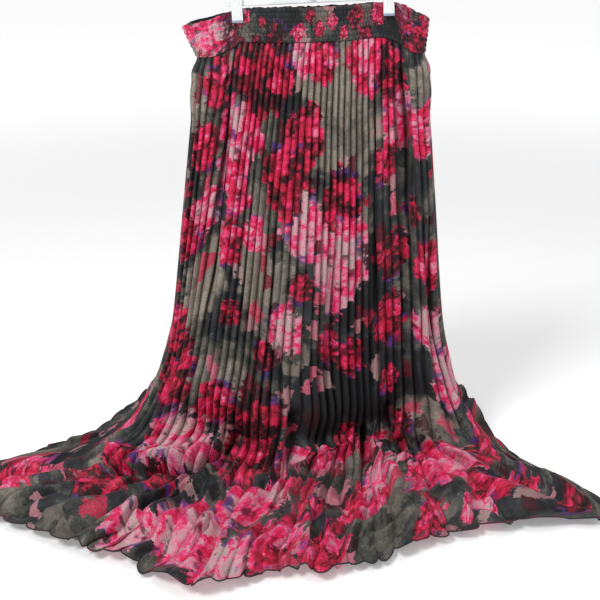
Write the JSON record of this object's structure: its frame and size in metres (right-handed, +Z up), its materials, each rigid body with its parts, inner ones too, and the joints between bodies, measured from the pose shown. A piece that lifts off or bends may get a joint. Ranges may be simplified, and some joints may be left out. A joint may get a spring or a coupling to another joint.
{
  "type": "pleated maxi skirt on clip hanger",
  "caption": "Pleated maxi skirt with a shirred elastic waistband, hanging from a clip hanger with its hem fanned out on the floor.",
  "frame": {"origin": "the inside top of the hanger's hook, where it bears on the rod that holds it", "axes": "+Z up, +X to the right as seen from the front, and the front of the skirt faces -Y"},
  "size_m": [0.8922, 0.7387, 0.7628],
  "materials": {
    "skirt_cloth": "printed satin-faced chiffon, soft sheen",
    "waistband_cloth": "the same printed cloth, shirred on elastic",
    "white_plastic": "moulded, semi-gloss",
    "steel": "bright plated wire and spring strip"
  },
  "bodies": {
    "root": {"skirt_front": "skirt_cloth", "skirt_back": "skirt_cloth", "waistband_front": "waistband_cloth", "waistband_back": "waistband_cloth", "hanger_bar": "white_plastic", "hanger_hook": "steel", "clip_left_front": "white_plastic", "clip_left_back": "white_plastic", "clip_left_spring": "steel", "clip_right_front": "white_plastic", "clip_right_back": "white_plastic", "clip_right_spring": "steel"}
  },
  "joints": []
}
